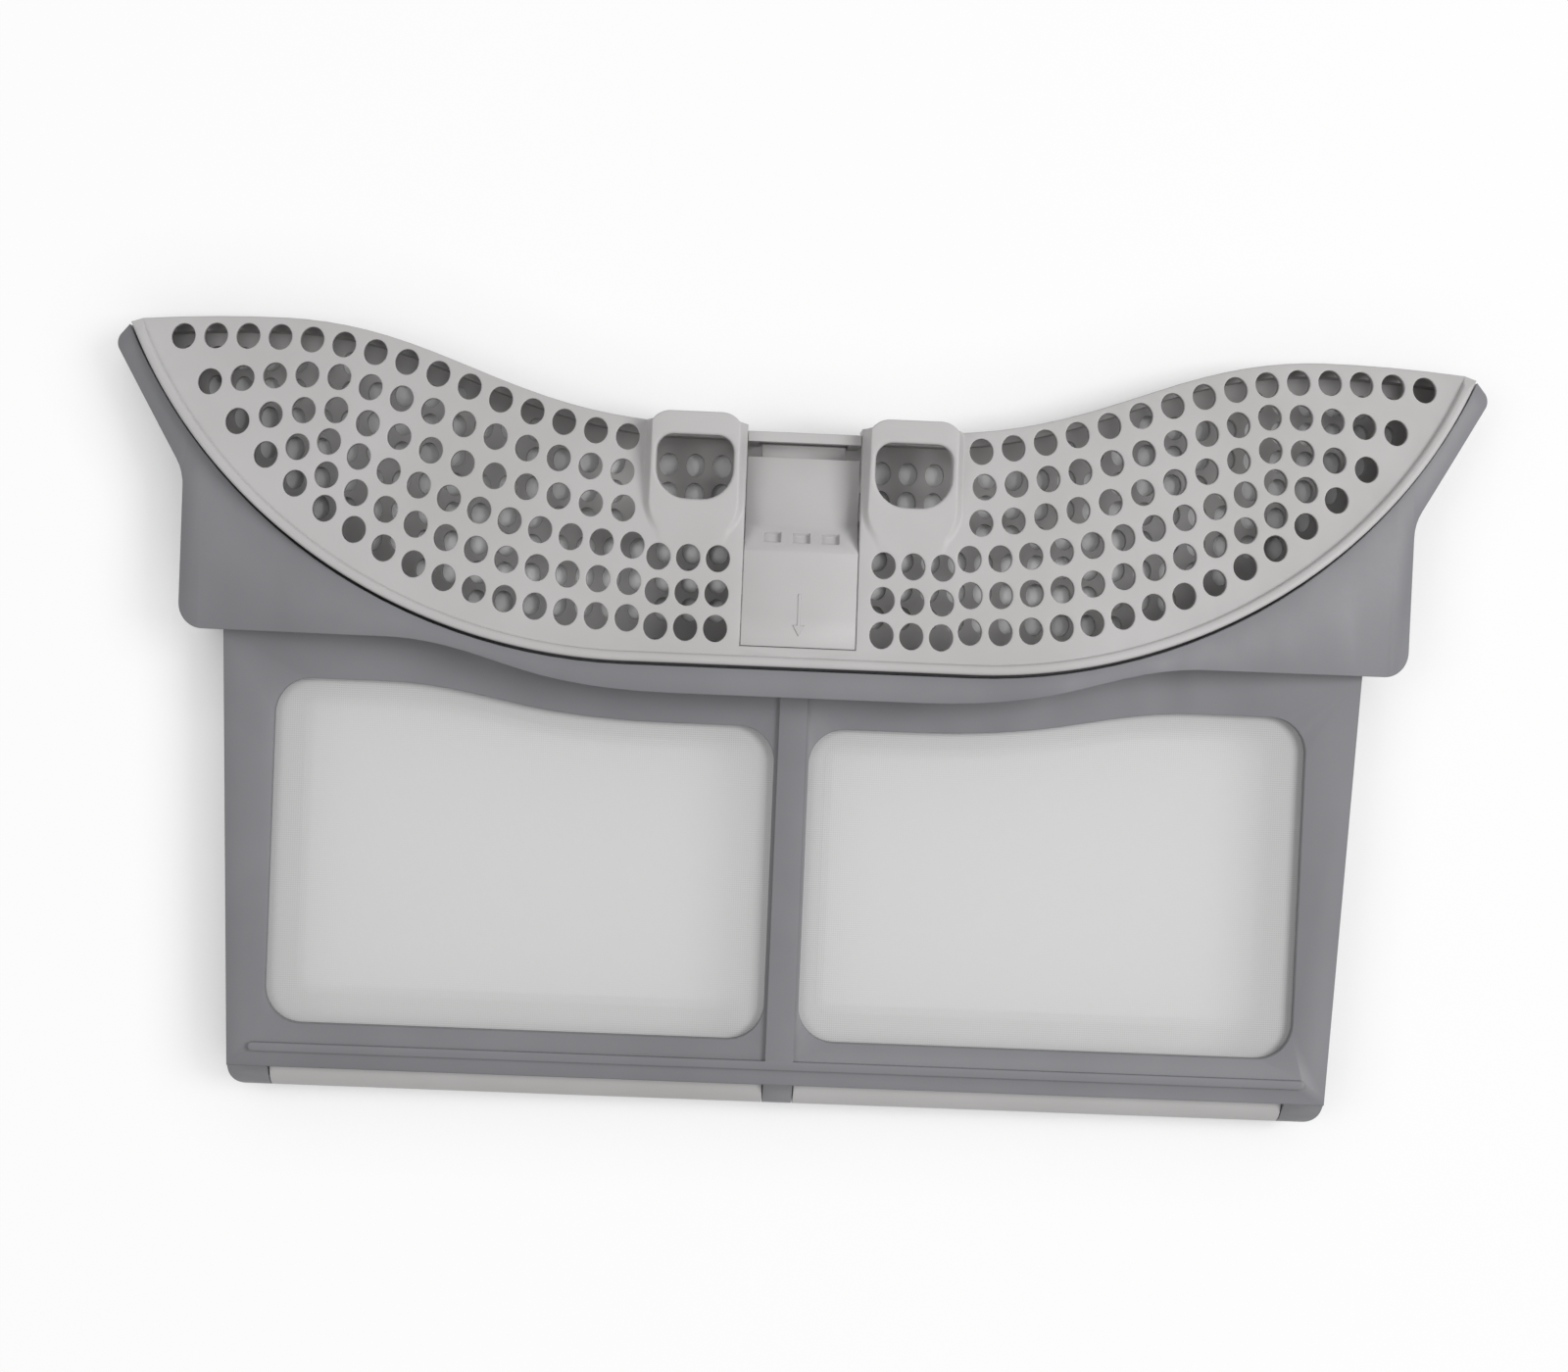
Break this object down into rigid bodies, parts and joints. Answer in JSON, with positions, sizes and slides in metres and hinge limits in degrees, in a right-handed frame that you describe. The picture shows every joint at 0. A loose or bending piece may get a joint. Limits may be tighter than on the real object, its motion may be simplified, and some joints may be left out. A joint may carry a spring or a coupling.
{
  "type": "tumble dryer lint filter",
  "caption": "Book-opening lint filter for a tumble dryer: hinged mesh frames under a curved, perforated grille with finger cowls and a sprung thumb latch",
  "frame": {"origin": "centre of the bounding box in plan, on the floor under the flat back", "axes": "X is the width and the hinge's direction, Y runs from the hinge to the grille, Z is depth with the front face up"},
  "size_m": [0.3822, 0.2144, 0.0387],
  "materials": {
    "mid_grey_plastic": "fine matte moulding texture",
    "light_grey_plastic": "fine matte moulding texture",
    "nylon_mesh": "fine plain-woven monofilament mesh"
  },
  "bodies": {
    "rear_half": {"rear_frame": "light_grey_plastic", "rear_mesh_left": "nylon_mesh", "rear_mesh_right": "nylon_mesh"},
    "front_half": {"front_frame": "mid_grey_plastic", "grille_cover": "light_grey_plastic", "front_mesh_left": "nylon_mesh", "front_mesh_right": "nylon_mesh"},
    "latch": {"thumb_latch": "light_grey_plastic"}
  },
  "joints": [
    {"name": "front_half_hinge", "type": "hinge", "parent": "rear_half", "child": "front_half", "pos_m": [0, -0.0982, 0.009], "axis": [1, 0, 0], "range_deg": [0, 120]},
    {"name": "latch_press", "type": "hinge", "parent": "front_half", "child": "latch", "pos_m": [0, 0.0231, 0.0348], "axis": [-1, 0, 0], "range_deg": [0, 7], "stiffness_Nm_per_rad": 0.4}
  ]
}
